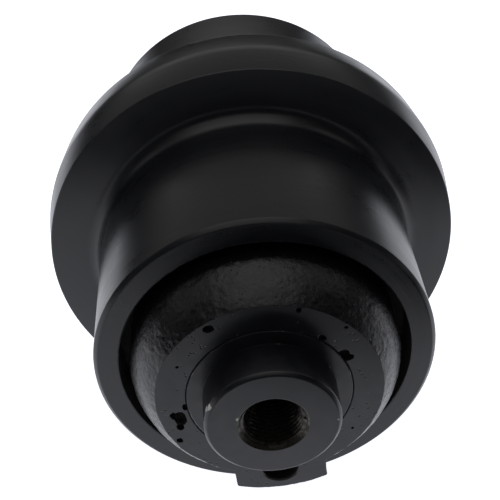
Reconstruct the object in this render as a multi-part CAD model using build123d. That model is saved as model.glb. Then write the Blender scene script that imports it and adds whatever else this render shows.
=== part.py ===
from build123d import *
import os
from math import asin, cos, radians, sin, sqrt, tan

# Track roller with a centre flange, in millimetres.
# The origin is on the roller's axis at its middle. The axis is along Y, the outboard end is at -Y,
# and the locating ears of both end collars point straight down, along -Z.
# "Station" means a distance from the middle plane, measured along the axis towards either end.

# Roller shell, outside
tread_diameter = 100.0
body_width = 133.5
rim_chamfer = 1.2
flange_crown_diameter = 136.0
flange_corner_diameter = 133.0
flange_corner_width = 24.5
flange_root_width = 26.0
flange_root_fillet = 5.0

# Roller shell, inside
recess_diameter = 85.2
recess_depth = 12.75
recess_mouth_chamfer = 0.6
oil_cavity_diameter = 62.0

# Shaft
shaft_diameter = 47.0
spigot_diameter = 38.0
spigot_length = 11.75
spigot_chamfer = 0.9
thrust_shoulder_width = 15.5
thrust_shoulder_clearance = 0.3
thrust_end_play = 0.25

# Tapped hole in each shaft end, M18 x 1.5, modelled at the tapping drill's size
tapping_diameter = 16.5
tapped_depth = 31.0
tapped_mouth_diameter = 19.8
drill_tip_angle = 118.0

# Oil way in the shaft, and its plug at the bottom of the outboard tapped hole
oil_way_diameter = 6.0
cross_hole_diameter = 5.0
plug_diameter = 10.0
plug_length = 8.0
plug_clearance = 0.03
plug_socket_across_flats = 5.0
plug_socket_depth = 4.0

# Bushes, and the thrust washers between them and the shaft's shoulder
bush_wall = 4.0
bush_length = 34.0
bush_running_clearance = 0.05
thrust_washer_thickness = 2.5
thrust_washer_rim_clearance = 0.02
thrust_washer_bore_clearance = 0.3

# End collars
collar_projection = 14.0
collar_flat_diameter = 64.6
collar_skirt_diameter = 78.6
collar_skirt_projection = 2.2
collar_bore_clearance = 0.02
labyrinth_gap = 1.0

# Locating ear on each collar, and the hole in it
ear_tip_diameter = 77.4
ear_width = 27.4
ear_tip_fillet = 2.0
ear_hole_diameter = 11.0
ear_hole_radius_from_axis = 30.3
ear_hole_depth = 9.5
ear_hole_chamfer = 0.4

# Floating seal in each end: two lapped metal rings, each carried on a rubber ring
seal_face_gap = 0.06
seal_ring_inner_diameter = 55.6
seal_ring_flange_diameter = 66.4
seal_ring_flange_thickness = 2.4
seal_ring_length = 8.5
seal_ramp_front_diameter = 60.8
seal_ramp_back_diameter = 59.0
seal_ring_end_clearance = 0.4
seal_housing_mouth_diameter = 72.0
seal_housing_taper = 4.0
toric_clearance = 0.05
toric_flange_clearance = 0.4

# Static O-ring between each collar and the shaft
o_ring_section = 1.8
o_ring_clearance = 0.03
o_ring_groove_width = 2.6
o_ring_land = 1.6

# Dowel that locks each collar to the shaft
pin_diameter = 5.0
pin_bite = 3.5
pin_clearance = 0.03
pin_station_beyond_rim = 5.2
pin_blind_height = 8.0
pin_sink = 0.8

# Stations along the axis
rim_station = body_width / 2
recess_station = rim_station - recess_depth
seal_face_station = recess_station + labyrinth_gap / 2
seal_housing_depth = seal_ring_length + seal_face_gap / 2 + seal_ring_end_clearance
collar_end_station = recess_station + labyrinth_gap
collar_face_station = rim_station + collar_projection
spigot_end_station = collar_face_station + spigot_length
washer_start_station = thrust_shoulder_width / 2 + thrust_end_play
bush_start_station = washer_start_station + thrust_washer_thickness

# Radii that several pieces share
shaft_radius = shaft_diameter / 2
spigot_radius = spigot_diameter / 2
bush_bore_radius = shaft_radius + bush_running_clearance
bush_seat_radius = bush_bore_radius + bush_wall
thrust_shoulder_radius = bush_seat_radius - thrust_shoulder_clearance
collar_bore_radius = shaft_radius + collar_bore_clearance
collar_skirt_radius = collar_skirt_diameter / 2
o_ring_groove_radius = collar_bore_radius + o_ring_section + o_ring_clearance
pin_radius = pin_diameter / 2
pin_offset = shaft_radius - pin_bite + pin_radius
pin_station = rim_station + pin_station_beyond_rim
tapping_radius = tapping_diameter / 2
plug_radius = plug_diameter / 2


def drill_tip_depth(wide_radius, narrow_radius=0.0):
    """How far a drill's tip runs on while its radius falls from the first to the second."""
    return (wide_radius - narrow_radius) / tan(radians(drill_tip_angle / 2))


# The plug's outer end is where the tapped hole's drill tip narrows to the plug's own bore
plug_bore_radius = plug_radius + plug_clearance
plug_top_station = spigot_end_station - tapped_depth - drill_tip_depth(tapping_radius, plug_bore_radius)
plug_bottom_station = plug_top_station - plug_length


def vertices_at(face, radius, station):
    """The corners of a half outline that lie at this radius and on either side of the middle."""
    tolerance = 0.001
    return [
        v for v in face.vertices()
        if abs(v.X - radius) < tolerance and abs(abs(v.Y) - station) < tolerance
    ]


def turned(*edges):
    """A solid turned about the roller's axis from edges in the plane of radius (X) and station (Y)."""
    return revolve(make_face(list(edges)), Axis.Y)


def turned_polyline(*points):
    """A solid turned about the roller's axis from an outline with straight sides."""
    return turned(*Polyline(*points, close=True).edges())


def axial_cylinder(radius, start, end, x=0.0, z=0.0):
    """A cylinder parallel to the roller's axis, from one station to another."""
    middle = Pos(x, (start + end) / 2, z)
    return middle * Rot(90, 0, 0) * Cylinder(radius, abs(end - start))


def seal_housing_radius(distance_from_face):
    """Radius of the conical bore that holds a rubber ring, at a distance from the seal's face."""
    return seal_housing_mouth_diameter / 2 - distance_from_face * tan(radians(seal_housing_taper))


def make_shell():
    """The roller itself: two treads, a crowned centre flange, and a recess in each end."""
    tread_radius = tread_diameter / 2
    recess_radius = recess_diameter / 2
    half_outline = [
        (flange_crown_diameter / 2, 0),
        (flange_corner_diameter / 2, flange_corner_width / 2),
        (tread_radius, flange_root_width / 2),
        (tread_radius, rim_station - rim_chamfer),
        (tread_radius - rim_chamfer, rim_station),
        (recess_radius + recess_mouth_chamfer, rim_station),
        (recess_radius, rim_station - recess_mouth_chamfer),
        (recess_radius, recess_station),
        (seal_housing_radius(labyrinth_gap / 2), recess_station),
        (seal_housing_radius(seal_housing_depth), seal_face_station - seal_housing_depth),
        (bush_seat_radius, seal_face_station - seal_housing_depth),
        (bush_seat_radius, washer_start_station),
        (oil_cavity_diameter / 2, washer_start_station),
    ]
    other_half = [(radius, -station) for radius, station in reversed(half_outline[1:])]
    section = make_face(Polyline(*half_outline, *other_half, close=True))
    roots = vertices_at(section, tread_radius, flange_root_width / 2)
    return revolve(fillet(roots, flange_root_fillet), Axis.Y)


def make_shaft():
    """The fixed shaft: thrust shoulder, two journals, two spigots, tapped ends and the oil way."""
    half_outline = [
        (thrust_shoulder_radius, thrust_shoulder_width / 2),
        (shaft_radius, thrust_shoulder_width / 2),
        (shaft_radius, collar_face_station),
        (spigot_radius, collar_face_station),
        (spigot_radius, spigot_end_station - spigot_chamfer),
        (spigot_radius - spigot_chamfer, spigot_end_station),
        (0, spigot_end_station),
    ]
    other_half = [(radius, -station) for radius, station in reversed(half_outline)]
    shaft = turned_polyline(*half_outline, *other_half)
    for side in (-1, 1):
        shaft -= make_tapped_hole(side)
        shaft -= make_pin_blank(side, pin_radius + pin_clearance)
    shaft -= axial_cylinder(plug_bore_radius, -spigot_end_station, -plug_bottom_station)
    shaft -= axial_cylinder(oil_way_diameter / 2, -spigot_end_station, oil_way_diameter)
    cross_hole = Cylinder(cross_hole_diameter / 2, thrust_shoulder_radius * 2)
    return shaft - Pos(0, 0, thrust_shoulder_radius) * cross_hole


def make_tapped_hole(side):
    """The space of one tapped hole, with its chamfered mouth and the drill's tip at its bottom."""
    mouth_radius = tapped_mouth_diameter / 2
    mouth_depth = mouth_radius - tapping_radius
    bottom_station = spigot_end_station - tapped_depth
    return turned_polyline(
        (0, side * spigot_end_station),
        (mouth_radius, side * spigot_end_station),
        (tapping_radius, side * (spigot_end_station - mouth_depth)),
        (tapping_radius, side * bottom_station),
        (0, side * (bottom_station - drill_tip_depth(tapping_radius))),
    )


def make_pin_blank(side, radius):
    """An upright cylinder beside the shaft, from below the collar up to the blind end of its hole."""
    bottom = -collar_skirt_radius
    middle = Pos(pin_offset, side * pin_station, (bottom + pin_blind_height) / 2)
    return middle * Cylinder(radius, pin_blind_height - bottom)


def make_bush():
    """One plain bush for the +Y end, pressed into the shell."""
    outside = axial_cylinder(bush_seat_radius, bush_start_station, bush_start_station + bush_length)
    return outside - axial_cylinder(bush_bore_radius, bush_start_station, bush_start_station + bush_length)


def make_thrust_washer():
    """The bronze washer for the +Y end, which takes the side load of the shaft's shoulder."""
    end_station = washer_start_station + thrust_washer_thickness
    outside = axial_cylinder(
        bush_seat_radius - thrust_washer_rim_clearance, washer_start_station, end_station
    )
    bore_radius = shaft_radius + thrust_washer_bore_clearance
    return outside - axial_cylinder(bore_radius, washer_start_station, end_station)


def make_collar():
    """One end collar for the +Y end: skirt, rounded dome, machined flat, ear, and its bores."""
    flat_radius = collar_flat_diameter / 2
    dome_start = rim_station + collar_skirt_projection
    dome_rise = collar_face_station - dome_start
    dome_inset = collar_skirt_radius - flat_radius
    dome_radius = (dome_rise ** 2 + dome_inset ** 2) / (2 * dome_inset)
    half_turn = asin(dome_rise / dome_radius) / 2
    dome_middle = (
        collar_skirt_radius - dome_radius * (1 - cos(half_turn)),
        dome_start + dome_radius * sin(half_turn),
    )
    housing_end = seal_face_station + seal_housing_depth
    body = turned(
        *Polyline(
            (flat_radius, collar_face_station),
            (collar_bore_radius, collar_face_station),
            (collar_bore_radius, housing_end),
            (seal_housing_radius(seal_housing_depth), housing_end),
            (seal_housing_radius(labyrinth_gap / 2), collar_end_station),
            (collar_skirt_radius, collar_end_station),
            (collar_skirt_radius, dome_start),
        ).edges(),
        ThreePointArc((collar_skirt_radius, dome_start), dome_middle, (flat_radius, collar_face_station)),
    )
    body += make_ear(dome_start)
    body -= axial_cylinder(collar_bore_radius, housing_end, collar_face_station)
    groove_start = housing_end + o_ring_land
    body -= axial_cylinder(o_ring_groove_radius, groove_start, groove_start + o_ring_groove_width)
    body -= make_ear_hole()
    return body - make_pin_blank(1, pin_radius + pin_clearance)


def make_ear(start):
    """The locating ear, which fills out the dome's slope below the shaft."""
    tip_radius = ear_tip_diameter / 2
    below_axis = Pos(0, -tip_radius / 2) * Rectangle(ear_width, tip_radius)
    outline = below_axis & Circle(tip_radius)
    tip_corners = [v for v in outline.vertices() if v.Y < -collar_bore_radius]
    outline = fillet(tip_corners, ear_tip_fillet)
    height = collar_face_station - start
    return extrude(Plane.XZ.offset(-collar_face_station) * outline, height)


def make_ear_hole():
    """The blind locating hole in the ear, drilled square to the collar's face."""
    radius = ear_hole_diameter / 2
    hole_end = collar_face_station - ear_hole_depth
    hole = turned_polyline(
        (0, collar_face_station),
        (radius + ear_hole_chamfer, collar_face_station),
        (radius, collar_face_station - ear_hole_chamfer),
        (radius, hole_end),
        (0, hole_end - drill_tip_depth(radius)),
    )
    return Pos(0, 0, -ear_hole_radius_from_axis) * hole


def make_static_ring():
    """The metal seal ring for the +Y end that stands still, with its lapped face inwards."""
    return make_seal_ring(1)


def make_rotating_ring():
    """The metal seal ring for the +Y end that turns with the shell, with its lapped face outwards."""
    return make_seal_ring(-1)


def make_seal_ring(away):
    """A seal ring that extends from the seal's face outwards (1) or inwards (-1) along the axis."""
    def station(distance):
        return seal_face_station + away * (seal_face_gap / 2 + distance)

    inner_radius = seal_ring_inner_diameter / 2
    flange_radius = seal_ring_flange_diameter / 2
    return turned_polyline(
        (inner_radius, station(0)),
        (flange_radius, station(0)),
        (flange_radius, station(seal_ring_flange_thickness)),
        (seal_ramp_front_diameter / 2, station(seal_ring_flange_thickness)),
        (seal_ramp_back_diameter / 2, station(seal_ring_length)),
        (inner_radius, station(seal_ring_length)),
    )


def make_static_toric():
    """The rubber ring for the +Y end that carries the static metal ring."""
    return make_toric(1)


def make_rotating_toric():
    """The rubber ring for the +Y end that carries the rotating metal ring."""
    return make_toric(-1)


def make_toric(away):
    """A rubber ring held between a metal ring's ramp and its conical housing."""
    flange_back = seal_face_gap / 2 + seal_ring_flange_thickness
    space_length = seal_ring_length - seal_ring_flange_thickness
    ramp_middle_radius = (seal_ramp_front_diameter + seal_ramp_back_diameter) / 4
    middle = flange_back + space_length / 2
    space = seal_housing_radius(middle) - ramp_middle_radius
    section_radius = min(
        (space * cos(radians(seal_housing_taper)) - 2 * toric_clearance) / 2,
        space_length / 2 - toric_flange_clearance,
    )
    centre_radius = (seal_housing_radius(middle) + ramp_middle_radius) / 2
    return make_rubber_ring(centre_radius, section_radius, seal_face_station + away * middle)


def make_o_ring():
    """The O-ring for the +Y end, in its groove in the collar's bore."""
    groove_start = seal_face_station + seal_housing_depth + o_ring_land
    section_radius = o_ring_section / 2 - o_ring_clearance
    centre_radius = (shaft_radius + o_ring_groove_radius) / 2
    return make_rubber_ring(centre_radius, section_radius, groove_start + o_ring_groove_width / 2)


def make_rubber_ring(centre_radius, section_radius, station):
    """A round-section ring about the roller's axis."""
    return Pos(0, station, 0) * Rot(90, 0, 0) * Torus(centre_radius, section_radius)


def make_pin():
    """The dowel for the +Y end, driven up from below the collar until its hole's blind end."""
    entry_height = -sqrt(collar_skirt_radius ** 2 - (pin_offset + pin_radius) ** 2)
    length = pin_blind_height - pin_sink - entry_height - pin_sink
    middle = entry_height + pin_sink + length / 2
    return Pos(pin_offset, pin_station, middle) * Cylinder(pin_radius, length)


def make_oil_plug():
    """The plug at the bottom of the outboard tapped hole, with a hexagonal socket."""
    body = axial_cylinder(plug_radius, -plug_top_station, -plug_bottom_station)
    socket = RegularPolygon(plug_socket_across_flats / 2, 6, major_radius=False)
    mouth = Plane.XZ.offset(plug_top_station)
    return body - extrude(mouth * socket, -plug_socket_depth)


def save(name, piece):
    """Writes one piece as a STEP file under its own name."""
    piece.label = name
    export_step(piece, f"parts/{name}.step")


os.makedirs("parts", exist_ok=True)

save("roller_shell", make_shell())
save("shaft", make_shaft())
save("oil_plug", make_oil_plug())

end_pieces = {
    "bush": make_bush,
    "thrust_washer": make_thrust_washer,
    "end_collar": make_collar,
    "seal_ring_static": make_static_ring,
    "seal_ring_rotating": make_rotating_ring,
    "toric_static": make_static_toric,
    "toric_rotating": make_rotating_toric,
    "collar_o_ring": make_o_ring,
    "collar_pin": make_pin,
}
for name, make_piece in end_pieces.items():
    inboard_piece = make_piece()
    save(f"{name}_inboard", inboard_piece)
    save(f"{name}_outboard", mirror(inboard_piece, about=Plane.XZ))
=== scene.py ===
from collections import Counter
from math import asin, atan2, cos, hypot, pi, radians, sin, tan

import bmesh
import bpy
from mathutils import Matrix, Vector


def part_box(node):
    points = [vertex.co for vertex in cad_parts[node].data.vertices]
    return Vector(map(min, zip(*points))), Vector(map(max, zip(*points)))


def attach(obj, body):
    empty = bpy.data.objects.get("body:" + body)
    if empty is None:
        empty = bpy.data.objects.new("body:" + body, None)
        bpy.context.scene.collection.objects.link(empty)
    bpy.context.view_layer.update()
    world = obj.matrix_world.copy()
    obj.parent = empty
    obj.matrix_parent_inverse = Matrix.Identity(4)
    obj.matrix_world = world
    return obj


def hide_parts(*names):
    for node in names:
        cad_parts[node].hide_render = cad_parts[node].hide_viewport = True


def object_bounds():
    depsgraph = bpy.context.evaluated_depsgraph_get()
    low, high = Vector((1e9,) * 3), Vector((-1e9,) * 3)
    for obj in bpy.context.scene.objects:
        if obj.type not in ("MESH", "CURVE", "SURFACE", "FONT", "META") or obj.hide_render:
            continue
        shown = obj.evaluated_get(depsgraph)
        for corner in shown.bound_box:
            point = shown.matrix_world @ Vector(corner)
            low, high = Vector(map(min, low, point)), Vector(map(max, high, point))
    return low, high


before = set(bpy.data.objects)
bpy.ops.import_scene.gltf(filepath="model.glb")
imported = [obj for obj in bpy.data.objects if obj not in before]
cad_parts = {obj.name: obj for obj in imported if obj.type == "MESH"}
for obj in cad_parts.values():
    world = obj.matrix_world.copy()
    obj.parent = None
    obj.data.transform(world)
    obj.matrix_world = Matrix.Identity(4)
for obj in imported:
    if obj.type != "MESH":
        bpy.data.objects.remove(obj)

mm = 0.001                      # sizes below are in millimetres
smoothAngle = 32                # degrees; a sharper edge stays crisp
weldSize = 0.002                # corners nearer than this become one
speckSize = 0.001               # edges shorter than this go
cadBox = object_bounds()
print("frame loaded")


# Small helpers for working by hand in edit mode

def deselectAll():
    if bpy.context.mode != "OBJECT":
        bpy.ops.object.mode_set(mode="OBJECT")
    bpy.ops.object.select_all(action="DESELECT")


def makeActive(piece):
    deselectAll()
    piece.select_set(True)
    bpy.context.view_layer.objects.active = piece


def startEdit(piece):
    makeActive(piece)
    bpy.ops.object.mode_set(mode="EDIT")
    bpy.ops.mesh.select_all(action="DESELECT")


def pick(piece, kind, test):        # kind is verts, edges or faces
    bpy.ops.mesh.select_mode(type={"verts": "VERT", "edges": "EDGE", "faces": "FACE"}[kind])
    bpy.ops.mesh.select_all(action="DESELECT")
    mesh = bmesh.from_edit_mesh(piece.data)
    for element in getattr(mesh, kind):
        if test(element):
            element.select_set(True)
    mesh.select_flush_mode()
    bmesh.update_edit_mesh(piece.data)


def radiusOf(point):
    return (point.x ** 2 + point.z ** 2) ** 0.5 / mm


def ringEdge(edge, radius, station):        # an edge of the ring with this radius at this station, either end
    return all(
        abs(radiusOf(v.co) - radius) < 0.02 and abs(abs(v.co.y) / mm - station) < 0.02
        for v in edge.verts
    )


def bevelRings(piece, rings, width, segments):
    pick(piece, "edges", lambda edge: any(ringEdge(edge, *ring) for ring in rings))
    bpy.ops.mesh.bevel(offset=width * mm, offset_type="OFFSET", segments=segments, profile=0.5, affect="EDGES")


def addCylinder(name, radius, start, end, segments=96, x=0.0, z=0.0):      # lies along Y between two places
    deselectAll()
    bpy.ops.mesh.primitive_cylinder_add(
        vertices=segments, radius=radius * mm, depth=abs(end - start) * mm,
        location=(x * mm, (start + end) / 2 * mm, z * mm), rotation=(pi / 2, 0, 0))
    piece = bpy.context.object
    piece.name = name
    bpy.ops.object.transform_apply(location=True, rotation=True, scale=True)
    return piece


def turnEnd(piece, side, radius, station, steps):       # walks an end face along the steps of a turned outline
    def isEnd(face):
        middle = face.calc_center_median()
        return abs(middle.y - side * station * mm) < 1e-6 and radiusOf(middle) < 0.01 and len(face.verts) > 8
    pick(piece, "faces", isEnd)
    for nextRadius, nextStation in steps:
        shift = (0, side * (nextStation - station) * mm, 0)
        bpy.ops.mesh.extrude_region_move(TRANSFORM_OT_translate={"value": shift})
        scale = nextRadius / radius
        bpy.ops.transform.resize(value=(scale, 1, scale), center_override=(0, 0, 0))
        radius, station = nextRadius, nextStation


def cut(piece, tool, operation="DIFFERENCE"):       # the tool leaves its own finish on what it cuts
    makeActive(piece)
    modifier = piece.modifiers.new("cut", "BOOLEAN")
    modifier.object = tool
    modifier.operation = operation
    modifier.solver = "EXACT"
    modifier.material_mode = "TRANSFER"
    bpy.ops.object.modifier_apply(modifier=modifier.name)
    bpy.data.objects.remove(tool)


def cleanCuts(piece):       # welds the specks that cuts leave, then drops folded pairs of faces and lone strays
    startEdit(piece)
    bpy.ops.mesh.select_all(action="SELECT")
    bpy.ops.mesh.remove_doubles(threshold=weldSize * mm)
    bpy.ops.mesh.dissolve_degenerate(threshold=speckSize * mm)
    bpy.ops.mesh.select_all(action="SELECT")
    bpy.ops.mesh.quads_convert_to_tris()
    mesh = bmesh.from_edit_mesh(piece.data)
    corners = [frozenset(v.index for v in face.verts) for face in mesh.faces]
    folded = {key for key, count in Counter(corners).items() if count > 1}
    pick(piece, "faces", lambda face: frozenset(v.index for v in face.verts) in folded)
    bpy.ops.mesh.delete(type="ONLY_FACE")
    pick(piece, "faces", lambda face: all(len(edge.link_faces) != 2 for edge in face.edges))
    bpy.ops.mesh.delete(type="ONLY_FACE")
    bpy.ops.mesh.select_all(action="SELECT")
    bpy.ops.mesh.delete_loose()
    deselectAll()


def finishPiece(piece):     # curved faces shade smooth, and faces square to the axis stay truly flat
    cleanCuts(piece)
    makeActive(piece)
    bpy.ops.object.shade_smooth_by_angle(angle=radians(smoothAngle))
    startEdit(piece)
    pick(piece, "faces", lambda face: abs(face.normal.y) > 0.9999)
    bpy.ops.mesh.faces_shade_flat()
    deselectAll()


# Materials: shared parts

def linearColour(hexCode):
    channels = [int(hexCode[i:i + 2], 16) / 255 for i in (1, 3, 5)]
    return [c / 12.92 if c <= 0.04045 else ((c + 0.055) / 1.055) ** 2.4 for c in channels] + [1]


def addNode(tree, kind, settings=None, inputs=None):    # an input is a value, a hex colour, a socket or a node
    node = tree.nodes.new("ShaderNode" + kind)
    for name, value in (settings or {}).items():
        setattr(node, name, value)
    for name, value in (inputs or {}).items():
        if isinstance(name, int):
            socket = node.inputs[name]
        else:
            socket = [socket for socket in node.inputs if socket.enabled and socket.name == name][0]
        if isinstance(value, str):
            value = linearColour(value)
        if isinstance(value, bpy.types.Node):
            value = [output for output in value.outputs if output.enabled][0]
        if isinstance(value, bpy.types.NodeSocket):
            tree.links.new(value, socket)
        else:
            socket.default_value = value
    return node


def makeMaterial(name, finish):         # a finish gives the shader's inputs
    material = bpy.data.materials.new(name)
    material.use_nodes = True
    tree = material.node_tree
    tree.nodes.clear()
    place = addNode(tree, "TexCoord").outputs["Object"]
    surface = addNode(tree, "BsdfPrincipled", {}, finish(tree, place))
    addNode(tree, "OutputMaterial", {}, {"Surface": surface})
    return material


def perMetre(size):         # a texture's scale for a pattern of this size in millimetres
    return 1 / (size * mm)


def turnedPlace(tree, place):       # radius, place along the axis, and a slow drift around the piece
    split = addNode(tree, "SeparateXYZ", {}, {"Vector": place}).outputs
    flat = addNode(tree, "CombineXYZ", {}, {"X": split["X"], "Y": split["Z"]})
    radius = addNode(tree, "VectorMath", {"operation": "LENGTH"}, {0: flat})
    drift = addNode(tree, "Math", {"operation": "MULTIPLY"}, {0: split["X"], 1: 0.03})
    return addNode(tree, "CombineXYZ", {}, {"X": radius, "Y": split["Y"], "Z": drift})


def edgeMask(tree, width):          # 1 on an edge, 0 away from it
    soft = addNode(tree, "Bevel", {"samples": 6}, {"Radius": width * mm})
    hard = addNode(tree, "NewGeometry").outputs["Normal"]
    agree = addNode(tree, "VectorMath", {"operation": "DOT_PRODUCT"}, {0: soft, 1: hard})
    return addNode(tree, "MapRange", {}, {"Value": agree, "From Min": 0.995, "From Max": 0.93})


# Camera, lights and floor

viewSettings = {
    "place": (4.2, -289.4, 205.2),          # from the roller's middle
    "turn": (53.25, 6.60, -3.82),           # degrees about X, Y and Z
    "lens": 74.4,
    "sensor": 36.0,
}
lightSettings = {                           # place, width and height in mm, and power in watts
    "leftSoftbox": {"place": (-900, -50, 600), "size": (500, 400), "power": 0.2},
    "rightSoftbox": {"place": (900, 0, 600), "size": (500, 400), "power": 0.2},
    "backSoftbox": {"place": (0, 1300, 600), "size": (1700, 280), "power": 0.7},
    "overheadSoftbox": {"place": (0, -250, 900), "size": (1000, 1200), "power": 2.8},
}
skySettings = {
    "colour": "#ffffff",
    "brightSide": (0, 0.6, 0.8),            # above and behind the roller
    "bright": 0.36,
    "dark": 0.03,
    "brightening": (0.3, 0.75),             # how nearly a direction faces the bright side, from dark to bright
    "horizon": 0.15,                        # share of the brightness left at the horizon
    "rise": (0.15, 0.35),                   # heights between which the horizon's dimness ends
}
floorSettings = {
    "size": 6000,
    "colour": "#f0f2fb",
    "grain": "#f6f8ff",
    "glow": 1.08,                           # keeps the floor white all over
}
flagSettings = {                            # near edge, width and depth in mm, and turn in degrees
    "frontFlag": {"start": 168, "size": (1600, 900), "turn": 22},
    "backFlag": {"start": 800, "size": (3000, 2000), "turn": 180},
}


def makeCamera():
    bpy.ops.object.camera_add(
        location=[value * mm for value in viewSettings["place"]],
        rotation=[radians(value) for value in viewSettings["turn"]])
    camera = bpy.context.object
    camera.data.lens = viewSettings["lens"]
    camera.data.sensor_width = viewSettings["sensor"]
    bpy.context.scene.camera = camera


def makeLights():
    for name, light in lightSettings.items():
        place = Vector(light["place"]) * mm
        bpy.ops.object.light_add(type="AREA", location=place, rotation=place.to_track_quat("Z", "Y").to_euler())
        lamp = bpy.context.object
        lamp.name = name
        lamp.data.shape = "RECTANGLE"
        lamp.data.size, lamp.data.size_y = (value * mm for value in light["size"])
        lamp.data.energy = light["power"]


def makeSky():          # dim in front and near the horizon; a camera sees it plain white
    world = bpy.data.worlds.new("softStudio")
    world.use_nodes = True
    tree = world.node_tree
    tree.nodes.clear()
    direction = addNode(tree, "TexCoord").outputs["Generated"]
    height = addNode(tree, "SeparateXYZ", {}, {"Vector": direction}).outputs["Z"]
    facing = addNode(tree, "VectorMath", {"operation": "DOT_PRODUCT"},
                     {0: direction, 1: skySettings["brightSide"]})
    darkest, brightest = skySettings["brightening"]
    glow = addNode(tree, "MapRange", {}, {"Value": facing, "From Min": darkest, "From Max": brightest,
                                          "To Min": skySettings["dark"], "To Max": skySettings["bright"]})
    low, high = skySettings["rise"]
    rise = addNode(tree, "MapRange", {}, {"Value": height, "From Min": low, "From Max": high,
                                          "To Min": skySettings["horizon"]})
    strength = addNode(tree, "Math", {"operation": "MULTIPLY"}, {0: glow, 1: rise})
    seen = addNode(tree, "LightPath").outputs["Is Camera Ray"]
    strength = addNode(tree, "Mix", {}, {"Factor": seen, "A": strength, "B": 1.0})
    background = addNode(tree, "Background", {}, {"Color": skySettings["colour"], "Strength": strength})
    addNode(tree, "OutputWorld", {}, {"Surface": background})
    bpy.context.scene.world = world
    bpy.context.scene.view_settings.view_transform = "Standard"     # whites stay white, as in a catalogue


def whiteBoard(tree, place):        # even and pale, with a trace of grain
    grain = addNode(tree, "TexNoise", {}, {"Vector": place, "Scale": perMetre(6.0), "Detail": 3.0})
    tint = addNode(tree, "Mix", {"data_type": "RGBA"},
                   {"Factor": grain, "A": floorSettings["colour"], "B": floorSettings["grain"]})
    return {"Base Color": tint, "Roughness": 0.9, "IOR": 1.4,
            "Emission Color": tint, "Emission Strength": floorSettings["glow"]}


def blackCard(tree, place):         # matt black felt
    nap = addNode(tree, "TexNoise", {}, {"Vector": place, "Scale": perMetre(2.0), "Detail": 3.0})
    tint = addNode(tree, "Mix", {"data_type": "RGBA"}, {"Factor": nap, "A": "#020202", "B": "#060606"})
    return {"Base Color": tint, "Roughness": 1.0, "IOR": 1.4}


def makeFloor():
    deselectAll()
    bpy.ops.mesh.primitive_plane_add(size=floorSettings["size"] * mm, location=(0, 0, cadBox[0][2]))
    floor = bpy.context.object
    floor.name = "studio_floor"
    bpy.ops.object.transform_apply(location=True)
    floor.data.materials.append(makeMaterial("matt white studio board", whiteBoard))


def makeFlags():        # no camera sees them; they keep reflections and shaded sides dark
    for name, card in flagSettings.items():
        turn = radians(card["turn"])
        width, depth = card["size"]
        middle = card["start"] + depth / 2
        deselectAll()
        bpy.ops.mesh.primitive_plane_add(size=1, rotation=(0, 0, turn), location=(
            middle * sin(turn) * mm, -middle * cos(turn) * mm, cadBox[0][2] + mm))
        flag = bpy.context.object
        flag.name = name
        flag.scale = (width * mm, depth * mm, 1)
        bpy.ops.object.transform_apply(location=True, rotation=True, scale=True)
        flag.data.materials.append(makeMaterial("matt black felt", blackCard))
        flag.visible_camera = flag.visible_shadow = False


makeCamera()
makeLights()
makeSky()
makeFloor()
makeFlags()
print("camera, lights and floor ready")


# Finishes

def turnedShellPaint(tree, place):
    # satin black enamel on turned steel: even charcoal, with faint rings from the lathe under the paint, and
    # edges lightened in patches as painted highlight, partly also wear
    lathe = turnedPlace(tree, place)
    rings = addNode(tree, "TexNoise", {}, {"Vector": lathe, "Scale": perMetre(0.7), "Detail": 2.0})
    wideRings = addNode(tree, "TexNoise", {}, {"Vector": lathe, "Scale": perMetre(3.0), "Detail": 2.0})
    mottle = addNode(tree, "TexNoise", {}, {"Vector": place, "Scale": perMetre(9.0), "Detail": 4.0})
    peel = addNode(tree, "TexNoise", {}, {"Vector": place, "Scale": perMetre(0.5), "Detail": 2.0})
    specks = addNode(tree, "TexNoise", {},
                     {"Vector": place, "Scale": perMetre(0.8), "Detail": 6.0, "Roughness": 0.7})
    dust = addNode(tree, "MapRange", {}, {"Value": specks, "From Min": 0.72, "From Max": 0.76, "To Max": 0.8})
    # patches along the edges are lightened to #4a4b4e: painted edge highlight, partly also wear
    patches = addNode(tree, "TexNoise", {}, {"Vector": place, "Scale": perMetre(1.6), "Detail": 5.0})
    wornAndLitPatches = addNode(tree, "MapRange", {}, {"Value": patches, "From Min": 0.5, "From Max": 0.62})
    wornAndHighlitEdges = addNode(tree, "Math", {"operation": "MULTIPLY"}, {0: edgeMask(tree, 0.7), 1: wornAndLitPatches})
    base = addNode(tree, "Mix", {"data_type": "RGBA"}, {"Factor": mottle, "A": "#0f1013", "B": "#131417"})
    base = addNode(tree, "Mix", {"data_type": "RGBA"}, {"Factor": dust, "A": base, "B": "#6d6e70"})
    base = addNode(tree, "Mix", {"data_type": "RGBA"}, {"Factor": wornAndHighlitEdges, "A": base, "B": "#4a4b4e"})
    uneven = addNode(tree, "Math", {"operation": "ADD"}, {0: mottle, 1: wideRings})
    rough = addNode(tree, "MapRange", {},
                    {"Value": uneven, "From Min": 0.7, "From Max": 1.3, "To Min": 0.26, "To Max": 0.34})
    skin = addNode(tree, "Bump", {}, {"Height": rings, "Distance": 0.016 * mm})
    skin = addNode(tree, "Bump", {}, {"Height": wideRings, "Distance": 0.03 * mm, "Normal": skin})
    skin = addNode(tree, "Bump", {}, {"Height": peel, "Distance": 0.004 * mm, "Normal": skin})
    return {"Base Color": base, "Roughness": rough, "Normal": skin, "IOR": 1.4}


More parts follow.
